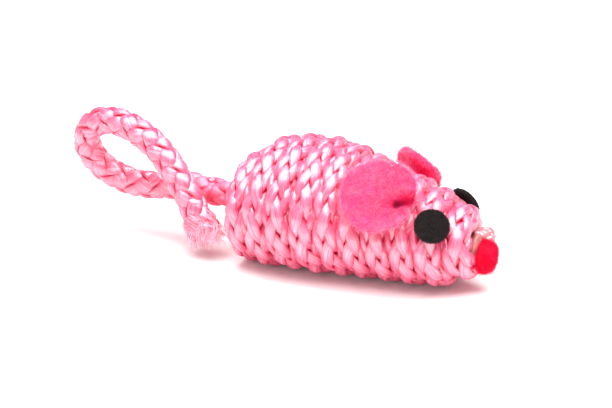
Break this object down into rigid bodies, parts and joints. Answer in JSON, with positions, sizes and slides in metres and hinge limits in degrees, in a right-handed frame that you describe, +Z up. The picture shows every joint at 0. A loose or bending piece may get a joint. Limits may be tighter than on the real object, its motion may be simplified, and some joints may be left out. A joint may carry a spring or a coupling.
{
  "type": "mouse cat toy",
  "caption": "Small mouse-shaped cat toy wound from braided satin cord round a core, with a looped cord tail, pinched felt ears, felt disc eyes and a felt nose.",
  "frame": {"origin": "on the floor, under the middle of the body, ears and nose without the free tail", "axes": "+X towards the nose, +Y towards the mouse's left side, +Z up"},
  "size_m": [0.0973, 0.0386, 0.0282],
  "materials": {
    "cord": "pink satin thread in an eight-strand round braid, glossy along the strands",
    "core": "plain moulded former, hidden under the winding",
    "ear_felt": "hot pink craft felt with a soft nap",
    "eye_felt": "charcoal black craft felt",
    "nose_felt": "bright red fuzzy felt",
    "glue": "set hot glue, tan and a little clouded"
  },
  "bodies": {
    "body": {"core": "core", "body_winding": "cord", "ear_glue_right": "glue", "ear_glue_left": "glue", "eye_right": "eye_felt", "eye_left": "eye_felt", "eye_glue_right": "glue", "eye_glue_left": "glue", "nose": "nose_felt", "nose_glue": "glue"},
    "tail": {"tail_cord": "cord", "tail_tuft": "cord"},
    "right_ear": {"ear_right": "ear_felt"},
    "left_ear": {"ear_left": "ear_felt"}
  },
  "joints": [
    {"name": "tail_lift", "type": "hinge", "parent": "body", "child": "tail", "pos_m": [-0.03172, -0.00263, 0.0147], "axis": [0, 1, 0], "range_deg": [0, 70], "stiffness_Nm_per_rad": 0.004},
    {"name": "right_ear_fold", "type": "hinge", "parent": "body", "child": "right_ear", "pos_m": [0.01787, -0.0108, 0.01812], "axis": [0, 0.8153, 0.579], "range_deg": [0, 40], "stiffness_Nm_per_rad": 0.0002},
    {"name": "left_ear_fold", "type": "hinge", "parent": "body", "child": "left_ear", "pos_m": [0.01418, 0.00987, 0.01475], "axis": [0, 0.4009, -0.9161], "range_deg": [0, 40], "stiffness_Nm_per_rad": 0.0002}
  ]
}
